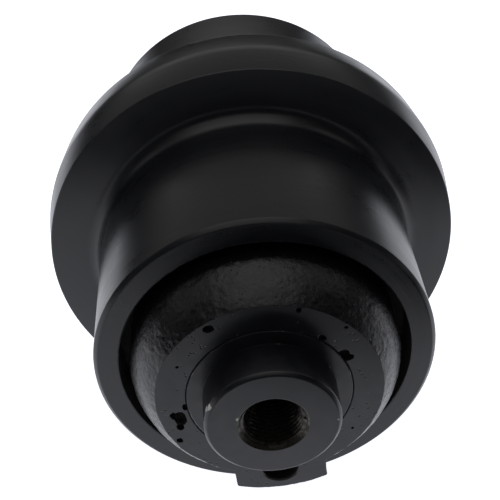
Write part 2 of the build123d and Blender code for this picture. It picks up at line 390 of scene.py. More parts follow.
def facedCollarPaint(tree, place):
    # satin black enamel on a faced iron casting: flat and even, with small craters where pores took the paint,
    # the craters darkened as painted shade
    rings = addNode(tree, "TexNoise", {},
                    {"Vector": turnedPlace(tree, place), "Scale": perMetre(0.5), "Detail": 2.0})
    mottle = addNode(tree, "TexNoise", {}, {"Vector": place, "Scale": perMetre(5.0), "Detail": 4.0})
    cells = addNode(tree, "TexVoronoi", {}, {"Vector": place, "Scale": perMetre(1.6)}).outputs["Distance"]
    craters = addNode(tree, "MapRange", {}, {"Value": cells, "From Min": 0.24, "From Max": 0.14})
    areas = addNode(tree, "TexNoise", {}, {"Vector": place, "Scale": perMetre(4.0), "Detail": 2.0})
    sparse = addNode(tree, "MapRange", {}, {"Value": areas, "From Min": 0.52, "From Max": 0.58})
    craters = addNode(tree, "Math", {"operation": "MULTIPLY"}, {0: craters, 1: sparse})
    base = addNode(tree, "Mix", {"data_type": "RGBA"}, {"Factor": mottle, "A": "#0a0b0f", "B": "#111217"})
    # craters darkened to near black: painted shade in the hollows
    base = addNode(tree, "Mix", {"data_type": "RGBA"}, {"Factor": craters, "A": base, "B": "#020202"})
    rough = addNode(tree, "MapRange", {},
                    {"Value": mottle, "From Min": 0.35, "From Max": 0.65, "To Min": 0.28, "To Max": 0.38})
    soft = addNode(tree, "Bevel", {"samples": 6}, {"Radius": 0.25 * mm})
    skin = addNode(tree, "Bump", {}, {"Height": rings, "Distance": 0.006 * mm, "Normal": soft})
    skin = addNode(tree, "Bump", {"invert": True}, {"Height": craters, "Distance": 0.15 * mm, "Normal": skin})
    return {"Base Color": base, "Roughness": rough, "Normal": skin, "IOR": 1.4}


def castCollarPaint(tree, place):
    # gloss black enamel on rough-cast iron: wet highlights broken up by the casting's bumps and pits
    bumps = addNode(tree, "TexNoise", {},
                    {"Vector": place, "Scale": perMetre(0.7), "Detail": 4.0, "Roughness": 0.6})
    grain = addNode(tree, "TexNoise", {}, {"Vector": place, "Scale": perMetre(0.45), "Detail": 3.0})
    cells = addNode(tree, "TexVoronoi", {}, {"Vector": place, "Scale": perMetre(1.2)}).outputs["Distance"]
    pits = addNode(tree, "MapRange", {}, {"Value": cells, "From Min": 0.22, "From Max": 0.05})
    areas = addNode(tree, "TexNoise", {}, {"Vector": place, "Scale": perMetre(3.0), "Detail": 2.0})
    sparse = addNode(tree, "MapRange", {}, {"Value": areas, "From Min": 0.48, "From Max": 0.6})
    pits = addNode(tree, "Math", {"operation": "MULTIPLY"}, {0: pits, 1: sparse})
    base = addNode(tree, "Mix", {"data_type": "RGBA"}, {"Factor": bumps, "A": "#060607", "B": "#0b0b0d"})
    # pits a shade darker: painted shade in the hollows
    base = addNode(tree, "Mix", {"data_type": "RGBA"}, {"Factor": pits, "A": base, "B": "#050506"})
    rough = addNode(tree, "MapRange", {},
                    {"Value": bumps, "From Min": 0.35, "From Max": 0.65, "To Min": 0.24, "To Max": 0.36})
    soft = addNode(tree, "Bevel", {"samples": 6}, {"Radius": 0.25 * mm})
    skin = addNode(tree, "Bump", {}, {"Height": bumps, "Distance": 0.09 * mm, "Normal": soft})
    skin = addNode(tree, "Bump", {}, {"Height": grain, "Distance": 0.03 * mm, "Normal": skin})
    skin = addNode(tree, "Bump", {"invert": True}, {"Height": pits, "Distance": 0.12 * mm, "Normal": skin})
    return {"Base Color": base, "Roughness": rough, "Normal": skin, "IOR": 1.4}


def drilledWallPaint(tree, place):
    # black enamel run into a drilled hole: dark, with the drill's rings showing on its wall
    depth = addNode(tree, "SeparateXYZ", {}, {"Vector": place}).outputs["Y"]
    along = addNode(tree, "CombineXYZ", {}, {"Y": depth})
    rings = addNode(tree, "TexNoise", {}, {"Vector": along, "Scale": perMetre(0.5), "Detail": 3.0})
    film = addNode(tree, "TexNoise", {}, {"Vector": place, "Scale": perMetre(2.0), "Detail": 4.0})
    base = addNode(tree, "Mix", {"data_type": "RGBA"}, {"Factor": film, "A": "#1c1b1a", "B": "#3a3836"})
    rough = addNode(tree, "MapRange", {},
                    {"Value": film, "From Min": 0.35, "From Max": 0.65, "To Min": 0.3, "To Max": 0.5})
    skin = addNode(tree, "Bump", {}, {"Height": rings, "Distance": 0.08 * mm})
    return {"Base Color": base, "Roughness": rough, "Normal": skin, "IOR": 1.4}


def openPorePaint(tree, place):
    # inside of a casting pore, near black: partly the bare iron's own grey-black and partly painted shade in the
    # hollow; dull and rough, so it reads as a dark spot
    lumps = addNode(tree, "TexNoise", {}, {"Vector": place, "Scale": perMetre(0.6), "Detail": 4.0})
    base = addNode(tree, "Mix", {"data_type": "RGBA"}, {"Factor": lumps, "A": "#010101", "B": "#060505"})
    rough = addNode(tree, "MapRange", {},
                    {"Value": lumps, "From Min": 0.3, "From Max": 0.7, "To Min": 0.7, "To Max": 0.95})
    skin = addNode(tree, "Bump", {}, {"Height": lumps, "Distance": 0.1 * mm})
    return {"Base Color": base, "Roughness": rough, "Normal": skin, "IOR": 1.4, "Specular IOR Level": 0.2}


def recessWallPaint(tree, place):
    # thin black primer on a rough bored wall: dull, dusty, and brown where it is bare
    lumps = addNode(tree, "TexNoise", {},
                    {"Vector": place, "Scale": perMetre(1.8), "Detail": 6.0, "Roughness": 0.65})
    rings = addNode(tree, "TexNoise", {},
                    {"Vector": turnedPlace(tree, place), "Scale": perMetre(0.9), "Detail": 3.0})
    areas = addNode(tree, "TexNoise", {}, {"Vector": place, "Scale": perMetre(4.0), "Detail": 5.0})
    bare = addNode(tree, "MapRange", {}, {"Value": areas, "From Min": 0.52, "From Max": 0.66, "To Max": 0.7})
    base = addNode(tree, "Mix", {"data_type": "RGBA"}, {"Factor": lumps, "A": "#0d0d0d", "B": "#1a1817"})
    base = addNode(tree, "Mix", {"data_type": "RGBA"}, {"Factor": bare, "A": base, "B": "#2e2620"})
    rough = addNode(tree, "MapRange", {},
                    {"Value": lumps, "From Min": 0.3, "From Max": 0.7, "To Min": 0.55, "To Max": 0.85})
    skin = addNode(tree, "Bump", {}, {"Height": lumps, "Distance": 0.15 * mm})
    skin = addNode(tree, "Bump", {}, {"Height": rings, "Distance": 0.05 * mm, "Normal": skin})
    return {"Base Color": base, "Roughness": rough, "Normal": skin, "IOR": 1.4}


# knocks that bare the steel: place and size
shaftKnocks = [
    ((-16.6, -92.0, 9.4), 1.0), ((-17.5, -90.9, 7.9), 0.9),
    ((-9.3, -92.4, 3.9), 0.65), ((17.6, -92.2, -1.0), 0.45),
]


def shaftEndPaint(tree, place):
    # satin black enamel on a turned shaft end: even, scraped to bright steel at a few knocks on its edges, with
    # its edges also lightened to bright steel in patches and along the lower left as painted highlight
    lathe = turnedPlace(tree, place)
    rings = addNode(tree, "TexNoise", {}, {"Vector": lathe, "Scale": perMetre(0.45), "Detail": 2.0})
    mottle = addNode(tree, "TexNoise", {}, {"Vector": place, "Scale": perMetre(4.0), "Detail": 4.0})
    # edges are lightened to bright steel in patches, partly wear and partly painted highlight
    patches = addNode(tree, "TexNoise", {}, {"Vector": place, "Scale": perMetre(2.2), "Detail": 5.0})
    wornAndLitPatches = addNode(tree, "MapRange", {}, {"Value": patches, "From Min": 0.62, "From Max": 0.7})
    # the edges on the lower-left side are lightened all along: a painted highlight
    low = addNode(tree, "VectorMath", {"operation": "DOT_PRODUCT"}, {0: place, 1: (-0.5, 0, -0.86)})
    lowerLeftHighlight = addNode(tree, "MapRange", {}, {"Value": low, "From Min": 12 * mm, "From Max": 17 * mm})
    wornAndLitPatches = addNode(tree, "Math", {"operation": "MAXIMUM"}, {0: wornAndLitPatches, 1: lowerLeftHighlight})
    wornAndHighlitEdges = addNode(tree, "Math", {"operation": "MULTIPLY"}, {0: edgeMask(tree, 0.35), 1: wornAndLitPatches})
    ragged = addNode(tree, "TexNoise", {}, {"Vector": place, "Scale": perMetre(1.1), "Detail": 4.0})
    for spot, size in shaftKnocks:
        away = addNode(tree, "VectorMath", {"operation": "DISTANCE"},
                       {0: place, 1: [value * mm for value in spot]})
        reach = addNode(tree, "Math", {"operation": "MULTIPLY"}, {0: ragged, 1: 2 * size * mm})
        inside = addNode(tree, "Math", {"operation": "SUBTRACT"}, {0: reach, 1: away})
        knock = addNode(tree, "MapRange", {}, {"Value": inside, "From Min": 0.0, "From Max": 0.15 * mm})
        wornAndHighlitEdges = addNode(tree, "Math", {"operation": "MAXIMUM"}, {0: wornAndHighlitEdges, 1: knock})
    base = addNode(tree, "Mix", {"data_type": "RGBA"}, {"Factor": mottle, "A": "#0b0c10", "B": "#111217"})
    # bright steel: real knocks, and painted highlight on the lightened edges
    base = addNode(tree, "Mix", {"data_type": "RGBA"}, {"Factor": wornAndHighlitEdges, "A": base, "B": "#a3a19b"})
    rough = addNode(tree, "MapRange", {},
                    {"Value": mottle, "From Min": 0.35, "From Max": 0.65, "To Min": 0.28, "To Max": 0.38})
    soft = addNode(tree, "Bevel", {"samples": 6}, {"Radius": 0.2 * mm})
    skin = addNode(tree, "Bump", {}, {"Height": rings, "Distance": 0.006 * mm, "Normal": soft})
    skin = addNode(tree, "Bump", {}, {"Height": mottle, "Distance": 0.02 * mm, "Normal": skin})
    return {"Base Color": base, "Roughness": rough, "Normal": skin, "IOR": 1.4}


def oiledThreadSteel(tree, place):
    # a cut thread in bare steel, wet with oil: metal darkened well below bare steel, partly by the oil and partly
    # as painted shade inside the deep hole, with small bright glints and grease in the roots
    grease = addNode(tree, "TexNoise", {},
                     {"Vector": place, "Scale": perMetre(1.5), "Detail": 5.0, "Roughness": 0.65})
    grit = addNode(tree, "TexNoise", {}, {"Vector": place, "Scale": perMetre(0.35), "Detail": 3.0})
    dirt = addNode(tree, "MapRange", {}, {"Value": grease, "From Min": 0.42, "From Max": 0.6})
    # the steel's tone sits far below bare steel: painted shade for the deep hole, with darker grease patches
    base = addNode(tree, "Mix", {"data_type": "RGBA"}, {"Factor": dirt, "A": "#403d38", "B": "#211f1c"})
    rough = addNode(tree, "MapRange", {},
                    {"Value": grease, "From Min": 0.3, "From Max": 0.7, "To Min": 0.22, "To Max": 0.5})
    skin = addNode(tree, "Bump", {}, {"Height": grease, "Distance": 0.015 * mm})
    skin = addNode(tree, "Bump", {}, {"Height": grit, "Distance": 0.02 * mm, "Normal": skin})
    return {"Base Color": base, "Roughness": rough, "Normal": skin, "Metallic": 0.85}


def groundJournalSteel(tree, place):
    # hardened journal steel, ground round: bright, with fine rings
    rings = addNode(tree, "TexNoise", {},
                    {"Vector": turnedPlace(tree, place), "Scale": perMetre(0.3), "Detail": 2.0})
    film = addNode(tree, "TexNoise", {}, {"Vector": place, "Scale": perMetre(12.0), "Detail": 3.0})
    base = addNode(tree, "Mix", {"data_type": "RGBA"}, {"Factor": film, "A": "#a9a9a6", "B": "#bdbbb5"})
    rough = addNode(tree, "MapRange", {},
                    {"Value": rings, "From Min": 0.3, "From Max": 0.7, "To Min": 0.16, "To Max": 0.28})
    skin = addNode(tree, "Bump", {}, {"Height": rings, "Distance": 0.003 * mm})
    return {"Base Color": base, "Roughness": rough, "Normal": skin, "Metallic": 1.0}


def machinedBronze(tree, place):
    # leaded bronze, bored and faced: warm yellow-brown with turning rings
    rings = addNode(tree, "TexNoise", {},
                    {"Vector": turnedPlace(tree, place), "Scale": perMetre(0.5), "Detail": 2.0})
    stain = addNode(tree, "TexNoise", {}, {"Vector": place, "Scale": perMetre(7.0), "Detail": 4.0})
    base = addNode(tree, "Mix", {"data_type": "RGBA"}, {"Factor": stain, "A": "#b98a4e", "B": "#8f6a3a"})
    rough = addNode(tree, "MapRange", {},
                    {"Value": stain, "From Min": 0.3, "From Max": 0.7, "To Min": 0.26, "To Max": 0.42})
    skin = addNode(tree, "Bump", {}, {"Height": rings, "Distance": 0.006 * mm})
    return {"Base Color": base, "Roughness": rough, "Normal": skin, "Metallic": 1.0}


def lappedSealIron(tree, place):
    # chilled alloy iron, lapped on its face: grey, nearly mirror-like, with a trace of rings
    rings = addNode(tree, "TexNoise", {},
                    {"Vector": turnedPlace(tree, place), "Scale": perMetre(0.4), "Detail": 2.0})
    grain = addNode(tree, "TexNoise", {}, {"Vector": place, "Scale": perMetre(0.8), "Detail": 4.0})
    base = addNode(tree, "Mix", {"data_type": "RGBA"}, {"Factor": grain, "A": "#7d7d7f", "B": "#98989a"})
    rough = addNode(tree, "MapRange", {},
                    {"Value": grain, "From Min": 0.3, "From Max": 0.7, "To Min": 0.14, "To Max": 0.3})
    skin = addNode(tree, "Bump", {}, {"Height": rings, "Distance": 0.004 * mm})
    return {"Base Color": base, "Roughness": rough, "Normal": skin, "Metallic": 1.0}


def mouldedNitrile(tree, place):
    # moulded nitrile rubber: soft black with a faint bloom
    bloom = addNode(tree, "TexNoise", {}, {"Vector": place, "Scale": perMetre(3.0), "Detail": 5.0})
    pebble = addNode(tree, "TexNoise", {}, {"Vector": place, "Scale": perMetre(0.4), "Detail": 3.0})
    base = addNode(tree, "Mix", {"data_type": "RGBA"}, {"Factor": bloom, "A": "#141414", "B": "#222222"})
    rough = addNode(tree, "MapRange", {},
                    {"Value": bloom, "From Min": 0.3, "From Max": 0.7, "To Min": 0.5, "To Max": 0.7})
    skin = addNode(tree, "Bump", {}, {"Height": pebble, "Distance": 0.01 * mm})
    return {"Base Color": base, "Roughness": rough, "Normal": skin, "IOR": 1.52}


def zincPlatedSteel(tree, place):
    # zinc-plated plug: pale grey with a faint yellow cast and oily stains
    stain = addNode(tree, "TexNoise", {}, {"Vector": place, "Scale": perMetre(2.0), "Detail": 5.0})
    base = addNode(tree, "Mix", {"data_type": "RGBA"}, {"Factor": stain, "A": "#9c9a8e", "B": "#77756a"})
    rough = addNode(tree, "MapRange", {},
                    {"Value": stain, "From Min": 0.3, "From Max": 0.7, "To Min": 0.3, "To Max": 0.5})
    skin = addNode(tree, "Bump", {}, {"Height": stain, "Distance": 0.02 * mm})
    return {"Base Color": base, "Roughness": rough, "Normal": skin, "Metallic": 1.0}


def dowelSteel(tree, place):
    # ground dowel steel, painted over at the end that shows below the collar
    height = addNode(tree, "SeparateXYZ", {}, {"Vector": place}).outputs["Z"]
    painted = addNode(tree, "MapRange", {}, {"Value": height, "From Min": -26.6 * mm, "From Max": -27.0 * mm})
    grain = addNode(tree, "TexNoise", {}, {"Vector": place, "Scale": perMetre(0.6), "Detail": 3.0})
    base = addNode(tree, "Mix", {"data_type": "RGBA"}, {"Factor": painted, "A": "#b0b0ae", "B": "#0b0b0d"})
    bare = addNode(tree, "Math", {"operation": "SUBTRACT"}, {0: 1.0, 1: painted})
    rough = addNode(tree, "MapRange", {},
                    {"Value": grain, "From Min": 0.3, "From Max": 0.7, "To Min": 0.25, "To Max": 0.4})
    skin = addNode(tree, "Bump", {}, {"Height": grain, "Distance": 0.01 * mm})
    return {"Base Color": base, "Roughness": rough, "Normal": skin, "Metallic": bare}


finishes = {
    "shell": makeMaterial("satin black enamel on turned steel", turnedShellPaint),
    "recess": makeMaterial("thin black primer on a rough bored wall", recessWallPaint),
    "faced": makeMaterial("satin black enamel on faced iron", facedCollarPaint),
    "cast": makeMaterial("gloss black enamel on rough-cast iron", castCollarPaint),
    "drilled": makeMaterial("black enamel in a drilled hole", drilledWallPaint),
    "pore": makeMaterial("bare pore in cast iron", openPorePaint),
    "shaftEnd": makeMaterial("satin black enamel on a turned shaft end", shaftEndPaint),
    "thread": makeMaterial("oiled cut thread in bare steel", oiledThreadSteel),
    "journal": makeMaterial("hardened and ground journal steel", groundJournalSteel),
    "bronze": makeMaterial("bored and faced leaded bronze", machinedBronze),
    "iron": makeMaterial("lapped chilled iron", lappedSealIron),
    "rubber": makeMaterial("moulded nitrile rubber", mouldedNitrile),
    "zinc": makeMaterial("zinc-plated steel", zincPlatedSteel),
    "dowel": makeMaterial("ground dowel steel with a painted end", dowelSteel),
}
print("finishes ready")


# Roller shell

shell = {
    "treadRadius": 50.0,
    "flangeCornerRadius": 66.5,
    "flangeCornerHalfWidth": 12.25,
    "flangeRootHalfWidth": 13.0,
    "rootFillet": 5.0,
    "crestSoftening": 1.7,
    "cornerSoftening": 0.45,
    "rimChamfer": 1.2,
    "rimSoftening": 0.2,
    "recessMouthSoftening": 0.5,
    "recessRadius": 42.6,
    "recessStation": 54.0,
    "sealMouthRadius": 35.95,
    "sealFloorRadius": 35.4,
    "sealFloorStation": 45.57,
    "bushSeatRadius": 27.55,
    "cavityStation": 8.0,
    "cavityRadius": 31.0,
    "segments": 256,
}


def makeShell():
    low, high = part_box("roller_shell")
    halfWidth = high[1] / mm
    crownRadius = high[2] / mm
    tread = shell["treadRadius"]
    root = shell["flangeRootHalfWidth"]
    corner = shell["flangeCornerRadius"]
    piece = addCylinder("roller_shell_turned", tread, -halfWidth, halfWidth, shell["segments"])
    piece.data.materials.append(finishes["shell"])
    piece.data.materials.append(finishes["recess"])
    startEdit(piece)
    for station in (-root, 0, root):
        bpy.ops.mesh.select_all(action="SELECT")
        bpy.ops.mesh.bisect(plane_co=(0, station * mm, 0), plane_no=(0, 1, 0))
    # the flange grows out of the middle band, narrows to its corners and rises to its crown
    pick(piece, "faces", lambda face: abs(face.calc_center_median().y) < root * mm and abs(face.normal.y) < 0.1)
    bpy.ops.mesh.extrude_region_move(TRANSFORM_OT_translate={"value": (0, 0, 0)})
    rise = corner / tread
    narrow = shell["flangeCornerHalfWidth"] / root
    bpy.ops.transform.resize(value=(rise, narrow, rise), center_override=(0, 0, 0))
    pick(piece, "verts", lambda v: abs(v.co.y) < 1e-6 and radiusOf(v.co) > corner - 1)
    crown = crownRadius / corner
    bpy.ops.transform.resize(value=(crown, 1, crown), center_override=(0, 0, 0))
    seat = shell["bushSeatRadius"]
    for side in (-1, 1):
        turnEnd(piece, side, tread, halfWidth, [
            (shell["recessRadius"], halfWidth),
            (shell["recessRadius"], shell["recessStation"]),
            (shell["sealMouthRadius"], shell["recessStation"]),
            (shell["sealFloorRadius"], shell["sealFloorStation"]),
            (seat, shell["sealFloorStation"]),
            (seat, shell["cavityStation"]),
            (shell["cavityRadius"], shell["cavityStation"]),
        ])
    pick(piece, "faces", lambda face: len(face.verts) > 8)      # the cavity's two ends
    bpy.ops.mesh.bridge_edge_loops()
    bevelRings(piece, [(tread, root)], shell["rootFillet"], 10)
    bevelRings(piece, [(corner, shell["flangeCornerHalfWidth"])], shell["cornerSoftening"], 3)
    bevelRings(piece, [(crownRadius, 0)], shell["crestSoftening"], 6)
    bevelRings(piece, [(tread, halfWidth)], shell["rimChamfer"], 1)
    rimEdges = [(tread, halfWidth - shell["rimChamfer"]), (tread - shell["rimChamfer"], halfWidth)]
    bevelRings(piece, rimEdges, shell["rimSoftening"], 2)
    bevelRings(piece, [(shell["recessRadius"], halfWidth)], shell["recessMouthSoftening"], 2)
    pick(piece, "faces", lambda face: max(radiusOf(v.co) for v in face.verts) < shell["recessRadius"] + 0.1)
    piece.active_material_index = 1
    bpy.ops.object.material_slot_assign()
    bpy.ops.mesh.select_all(action="SELECT")
    bpy.ops.mesh.normals_make_consistent(inside=False)
    deselectAll()
    finishPiece(piece)
    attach(piece, "roller")
    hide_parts("roller_shell")


makeShell()
print("roller shell turned")


# Shaft

shaft = {
    "journalRadius": 23.5,
    "shoulderHalfWidth": 7.75,
    "faceStation": 80.75,
    "spigotRadius": 19.0,
    "spigotChamfer": 0.9,
    "holeMouthRadius": 9.9,
    "threadRadius": 9.0,            # M18 x 1.5
    "threadPitch": 1.5,
    "threadCrest": 8.25,
    "threadDepth": 27.0,
    "threadRunout": 0.7,
    "ridgeHalfWidths": (0.09, 0.48),    # at the crest and at the root, in pitches
    "ridgeRootSink": 0.2,           # into the wall
    "ridgeStart": 0.8,              # before the face, in pitches
    "ridgeSteps": 72,
    "holeDepth": 31.0,
    "drillTip": 1 / tan(radians(59)),
    "plugRadius": 5.03,
    "plugLength": 8.0,
    "oilWayRadius": 3.0,
    "oilWayEnd": -6.0,              # past the middle, to meet the cross hole
    "crossHoleRadius": 2.5,
    "pinHoleFoot": -41.3,           # below the collar's skirt
    "pinHoleRise": 0.8,             # above the pin
    "pinHoleClearance": 0.03,
    "shoulderSoftening": 0.3,
    "spigotSoftening": 0.25,
    "mouthSoftening": 0.12,
    "segments": 192,
}


def makeThreadRidge(endStation):      # one closed helical ridge for the outboard hole, right-handed
    pitch = shaft["threadPitch"]
    root = shaft["threadRadius"] + shaft["ridgeRootSink"]
    crest = shaft["threadCrest"]
    atCrest, atRoot = shaft["ridgeHalfWidths"]
    turns = int(shaft["threadDepth"] / pitch)
    deselectAll()
    bpy.ops.mesh.primitive_plane_add(size=1)
    ridge = bpy.context.object
    ridge.name = "thread_ridge"
    startEdit(ridge)
    # the square becomes the ridge's section: wide at the root, narrow at the crest
    corners = {
        (-1, -1): (crest, -atCrest), (-1, 1): (crest, atCrest),
        (1, -1): (root, -atRoot), (1, 1): (root, atRoot),
    }
    mesh = bmesh.from_edit_mesh(ridge.data)
    for vertex in mesh.verts:
        key = (round(vertex.co.x * 2), round(vertex.co.y * 2))
        radius, along = corners[key]
        vertex.co = (radius * mm, along * pitch * mm, 0)
    bmesh.update_edit_mesh(ridge.data)
    bpy.ops.mesh.select_all(action="SELECT")
    bpy.ops.mesh.delete(type="ONLY_FACE")
    deselectAll()
    makeActive(ridge)
    screw = ridge.modifiers.new("helix", "SCREW")
    screw.axis = "Y"
    screw.angle = 2 * pi
    screw.screw_offset = pitch * mm
    screw.iterations = turns
    screw.steps = screw.render_steps = shaft["ridgeSteps"]
    screw.use_normal_calculate = True
    bpy.ops.object.modifier_apply(modifier=screw.name)
    ridge.location.y = (pitch * shaft["ridgeStart"] - endStation) * mm
    bpy.ops.object.transform_apply(location=True)
    startEdit(ridge)
    for ending in (min, max):       # caps each end of the helix
        tip = ending(v.co.y for v in ridge.data.vertices)
        pick(ridge, "edges",
             lambda edge: edge.is_boundary and all(abs(v.co.y - tip) < pitch * mm for v in edge.verts))
        bpy.ops.mesh.edge_face_add()
    bpy.ops.mesh.select_all(action="SELECT")
    bpy.ops.mesh.normals_make_consistent(inside=False)
    deselectAll()
    return ridge


def makeShaft():
    low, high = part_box("shaft")
    shoulderRadius = high[0] / mm
    endStation = high[1] / mm
    half = shaft["shoulderHalfWidth"]
    journal, face, spigot = shaft["journalRadius"], shaft["faceStation"], shaft["spigotRadius"]
    chamfer = shaft["spigotChamfer"]
    mouthDepth = shaft["holeMouthRadius"] - shaft["threadRadius"]
    threadEnd = endStation - shaft["threadDepth"]
    holeEnd = endStation - shaft["holeDepth"]
    piece = addCylinder("shaft_turned", shoulderRadius, -half, half, shaft["segments"])
    for finish in ("journal", "shaftEnd", "thread"):
        piece.data.materials.append(finishes[finish])
    startEdit(piece)
    plugStart = holeEnd - (shaft["threadCrest"] - shaft["plugRadius"]) * shaft["drillTip"]
    bottoms = {
        -1: [(shaft["plugRadius"], plugStart), (shaft["plugRadius"], plugStart - shaft["plugLength"]),
             (shaft["oilWayRadius"], plugStart - shaft["plugLength"]),
             (shaft["oilWayRadius"], shaft["oilWayEnd"])],
        1: [(0.2, holeEnd - shaft["threadCrest"] * shaft["drillTip"])],
    }
    for side in (-1, 1):
        turnEnd(piece, side, shoulderRadius, half, [
            (journal, half), (journal, face), (spigot, face), (spigot, endStation - chamfer),
            (spigot - chamfer, endStation), (shaft["holeMouthRadius"], endStation),
            (shaft["threadRadius"], endStation - mouthDepth), (shaft["threadRadius"], threadEnd),
            (shaft["threadCrest"], threadEnd - shaft["threadRunout"]), (shaft["threadCrest"], holeEnd),
            *bottoms[side],
        ])
    bevelRings(piece, [(journal, face)], shaft["shoulderSoftening"], 2)
    bevelRings(piece, [(spigot, endStation - chamfer), (spigot - chamfer, endStation)],
               shaft["spigotSoftening"], 3)
    bevelRings(piece, [(shaft["holeMouthRadius"], endStation)], shaft["mouthSoftening"], 2)
    pick(piece, "faces", lambda f: abs(f.calc_center_median().y) > (face - 1) * mm
         and min(radiusOf(v.co) for v in f.verts) > shaft["threadRadius"] + 0.2)
    piece.active_material_index = 1
    bpy.ops.object.material_slot_assign()
    pick(piece, "faces", lambda f: abs(f.calc_center_median().y) > 20 * mm
         and max(radiusOf(v.co) for v in f.verts) < shaft["holeMouthRadius"] + 0.05)
    piece.active_material_index = 2
    bpy.ops.object.material_slot_assign()
    deselectAll()
    for turned in (0, pi):
        ridge = makeThreadRidge(endStation)
        ridge.data.materials.append(finishes["thread"])
        makeActive(ridge)
        ridge.rotation_euler.z = turned
        bpy.ops.object.transform_apply(rotation=True)
        cut(piece, ridge, "UNION")
    crossStart = (0, 0, shoulderRadius)
    cut(piece, addDrill("cross_hole", shaft["crossHoleRadius"], crossStart, 2 * shoulderRadius, "journal"))
    for side in (-1, 1):
        cut(piece, addPinHole(side, "journal"))
    finishPiece(piece)
    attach(piece, "axle")
    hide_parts("shaft")


def addDrill(name, radius, middle, length, finish):     # an upright round tool
    deselectAll()
    bpy.ops.mesh.primitive_cylinder_add(vertices=48, radius=radius * mm, depth=length * mm,
                                        location=[value * mm for value in middle])
    tool = bpy.context.object
    tool.name = name
    bpy.ops.object.transform_apply(location=True)
    tool.data.materials.append(finishes[finish])
    return tool


def addPinHole(side, finish):       # the dowel's hole, half in the shaft and half in the collar
    name = "collar_pin_inboard" if side > 0 else "collar_pin_outboard"
    low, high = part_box(name)
    radius = (high[0] - low[0]) / 2 / mm + shaft["pinHoleClearance"]
    middle = [(low[i] + high[i]) / 2 / mm for i in range(3)]
    top = high[2] / mm + shaft["pinHoleRise"]
    bottom = shaft["pinHoleFoot"]
    return addDrill("pin_hole", radius, (middle[0], middle[1], (top + bottom) / 2), top - bottom, finish)


makeShaft()
print("shaft turned and threaded")


# End collars: a rough casting, then the cuts that machine it

collar = {
    "skirtRadius": 39.3,
    "domeStart": 68.95,
    "domeBulge": 0.9,
    "flatRadius": 32.3,
    "boreRadius": 23.52,
    "boreChamfer": 0.35,
    "sealMouthRadius": 35.95,
    "sealFloorRadius": 35.4,
    "sealFloorStation": 63.43,
    "grooveRadius": 25.35,
    "grooveStations": (65.03, 67.63),
    "earTipRadius": 38.7,
    "earHalfWidth": 13.7,
    "earCorner": 2.0,
    "earHoleRadius": 5.5,
    "earHoleDepth": 9.5,
    "earHoleHeight": -30.3,
    "earHoleLip": 0.4,
    "earRootHeight": -12,           # where the ear starts inside the dome
    "skirtAllowance": 0.5,          # extra length that machining takes off
    "blankRadius": 60,              # of the machined outline, clear of the casting
    "grain": 0.5,                   # the casting's mesh
    "coarseBumps": (5.0, 0.35),     # size and height
    "fineBumps": (1.2, 0.2),
    "poreGrain": 0.16,
    "poreBumps": (0.9, 0.35),       # size, and height as a share of the pore
    "poreDepth": 0.8,               # as a share of its radius
    "segments": 192,
}
# open pores in the machined flat: clock angle from the top, distance from the axis, size, stretch
outboardPores = [
    (-27, 30.2, 2.6, 1.2), (20, 31.2, 1.8, 1.0), (41, 24.6, 1.9, 1.3), (63, 24.6, 3.4, 1.3), (66, 25.4, 2.2, 1.0),
    (-100, 26.6, 3.6, 1.5), (-97, 27.9, 2.4, 1.2), (-107, 27.9, 2.4, 1.0), (-116, 30.7, 1.9, 1.0),
    (-91, 24.2, 1.6, 1.6), (47, 31.2, 1.1, 1.0), (-58, 28.2, 0.9, 1.0), (128, 28.4, 1.0, 1.0),
]
inboardPores = [(35, 29.0, 2.4, 1.3), (140, 27.0, 3.0, 1.2), (-75, 25.0, 1.8, 1.0), (-130, 30.0, 2.2, 1.4)]


def applyModifier(piece, kind, settings):
    makeActive(piece)
    modifier = piece.modifiers.new(kind.lower(), kind)
    for name, value in settings.items():
        setattr(modifier, name, value)
    bpy.ops.object.modifier_apply(modifier=modifier.name)


def roughen(piece, size, height):
    texture = bpy.data.textures.new("castSkin", "CLOUDS")
    texture.noise_scale = size * mm
    texture.noise_depth = 2
    applyModifier(piece, "DISPLACE", {"texture": texture, "strength": height * mm, "mid_level": 0.5})


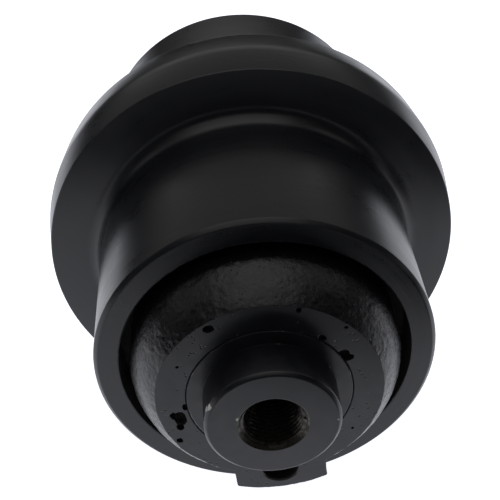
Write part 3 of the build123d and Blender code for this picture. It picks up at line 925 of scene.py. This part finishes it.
def makeCasting(skirtEnd):       # the outboard collar as it leaves its mould
    start, skirt, flat = collar["domeStart"], collar["skirtRadius"], collar["flatRadius"]
    face = shaft["faceStation"]
    # the dome is a shallow arc from the skirt to the flat, run on a little past the face
    halfChord = hypot(skirt - flat, face - start) / 2
    domeRadius = (halfChord ** 2 + collar["domeBulge"] ** 2) / (2 * collar["domeBulge"])
    halfTurn = asin(halfChord / domeRadius)
    lean = atan2(skirt - flat, face - start)
    startTilt = lean - halfTurn
    tilts = [startTilt + 2.2 * halfTurn * i / 16 for i in range(1, 17)]
    arc = [
        (skirt - domeRadius * (cos(startTilt) - cos(tilt)), start + domeRadius * (sin(tilt) - sin(startTilt)))
        for tilt in tilts
    ]
    blankEnd = -(skirtEnd - collar["skirtAllowance"])
    casting = addCylinder("collar_casting", skirt, -start, blankEnd, collar["segments"])
    casting.data.materials.append(finishes["cast"])
    startEdit(casting)
    turnEnd(casting, -1, skirt, start, arc)
    ear = addCylinder("ear_casting", collar["earTipRadius"], -arc[-1][1], -start, collar["segments"])
    ear.data.materials.append(finishes["cast"])
    startEdit(ear)
    half = collar["earHalfWidth"]
    trims = [((half, 0, 0), (1, 0, 0)), ((-half, 0, 0), (-1, 0, 0)),
             ((0, 0, collar["earRootHeight"]), (0, 0, 1))]
    for place, normal in trims:
        bpy.ops.mesh.select_all(action="SELECT")
        bpy.ops.mesh.bisect(plane_co=[v * mm for v in place], plane_no=normal, clear_outer=True, use_fill=True)
    tip = -(collar["earTipRadius"] ** 2 - half ** 2) ** 0.5 * mm
    pick(ear, "edges",
         lambda edge: all(abs(abs(v.co.x) - half * mm) < 1e-5 and abs(v.co.z - tip) < 1e-4 for v in edge.verts))
    bpy.ops.mesh.bevel(offset=collar["earCorner"] * mm, offset_type="OFFSET", segments=5, profile=0.5,
                       affect="EDGES")
    cut(casting, ear, "UNION")
    applyModifier(casting, "REMESH", {"mode": "VOXEL", "voxel_size": collar["grain"] * mm})
    applyModifier(casting, "SMOOTH", {"factor": 0.5, "iterations": 6})
    roughen(casting, *collar["coarseBumps"])
    roughen(casting, *collar["fineBumps"])
    return casting


def makeEarHole():
    face = shaft["faceStation"]
    radius, lip = collar["earHoleRadius"], collar["earHoleLip"]
    bottom = face - collar["earHoleDepth"]
    tool = addCylinder("ear_drill", radius, -(face - lip), -bottom, 64)
    tool.data.materials.append(finishes["drilled"])
    startEdit(tool)
    turnEnd(tool, -1, radius, face - lip, [(radius + lip, face), (radius + lip, face + 2)])
    turnEnd(tool, 1, radius, -bottom, [(0.1, -bottom + radius * shaft["drillTip"])])
    deselectAll()
    makeActive(tool)
    tool.location.z = collar["earHoleHeight"] * mm
    bpy.ops.object.transform_apply(location=True)
    return tool


def machineCasting(casting, skirtEnd):     # keeps what lies inside the machined outline
    face, bore = shaft["faceStation"], collar["boreRadius"]
    floor = collar["sealFloorStation"]
    grooveStart, grooveEnd = collar["grooveStations"]
    blank = collar["blankRadius"]
    outline = addCylinder("machined_outline", blank, -face, -skirtEnd, collar["segments"])
    outline.data.materials.append(finishes["faced"])
    startEdit(outline)
    turnEnd(outline, -1, blank, face, [
        (bore + collar["boreChamfer"], face), (bore, face - collar["boreChamfer"]),
        (bore, grooveEnd), (collar["grooveRadius"], grooveEnd),
        (collar["grooveRadius"], grooveStart), (bore, grooveStart), (bore, floor),
    ])
    turnEnd(outline, 1, blank, -skirtEnd, [
        (collar["sealMouthRadius"], -skirtEnd), (collar["sealFloorRadius"], -floor),
    ])
    pick(outline, "faces", lambda f: len(f.verts) > 8)
    bpy.ops.mesh.bridge_edge_loops()
    bpy.ops.mesh.select_all(action="SELECT")
    bpy.ops.mesh.normals_make_consistent(inside=False)
    cut(casting, outline, "INTERSECT")
    cut(casting, makeEarHole())
    cut(casting, addPinHole(-1, "drilled"))


def openPores(piece, side, pores):
    bumpSize, bumpShare = collar["poreBumps"]
    lumps = []
    for clock, distance, size, stretch in pores:
        deselectAll()
        angle = radians(clock)
        bpy.ops.mesh.primitive_ico_sphere_add(
            subdivisions=4, radius=size / 2 * mm,
            location=(distance * sin(angle) * mm, side * shaft["faceStation"] * mm, distance * cos(angle) * mm))
        lump = bpy.context.object
        lump.scale = (stretch, collar["poreDepth"], 1)
        lump.rotation_euler.y = angle
        bpy.ops.object.transform_apply(location=True, rotation=True, scale=True)
        roughen(lump, bumpSize, size * bumpShare)
        lumps.append(lump)
    deselectAll()
    for lump in lumps:
        lump.select_set(True)
    bpy.context.view_layer.objects.active = lumps[0]
    bpy.ops.object.join()
    tool = bpy.context.object
    tool.data.materials.append(finishes["pore"])
    applyModifier(tool, "REMESH", {"mode": "VOXEL", "voxel_size": collar["poreGrain"] * mm})
    cut(piece, tool)


def makeCollars():
    low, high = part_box("end_collar_outboard")
    skirtEnd = -high[1] / mm
    outboard = makeCasting(skirtEnd)
    machineCasting(outboard, skirtEnd)
    makeActive(outboard)
    bpy.ops.object.duplicate(linked=False)
    inboard = bpy.context.object
    inboard.scale.y = -1
    bpy.ops.object.transform_apply(scale=True)
    startEdit(inboard)
    bpy.ops.mesh.select_all(action="SELECT")
    bpy.ops.mesh.normals_make_consistent(inside=False)
    deselectAll()
    for piece, end, side, pores in ((outboard, "outboard", -1, outboardPores),
                                    (inboard, "inboard", 1, inboardPores)):
        piece.name = "end_collar_" + end + "_cast"
        openPores(piece, side, pores)
        finishPiece(piece)
        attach(piece, "axle")
        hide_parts("end_collar_" + end)


makeCollars()
print("end collars cast and machined")


# Inner pieces keep their shapes and get their finishes

innerFinishes = {
    "bush": "bronze", "thrust_washer": "bronze",
    "seal_ring_static": "iron", "seal_ring_rotating": "iron",
    "toric_static": "rubber", "toric_rotating": "rubber", "collar_o_ring": "rubber",
    "collar_pin": "dowel", "oil_plug": "zinc",
}
for nodeName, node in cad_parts.items():
    for start, finish in innerFinishes.items():
        if nodeName.startswith(start):
            node.data.materials.clear()
            node.data.materials.append(finishes[finish])
print("inner pieces finished")
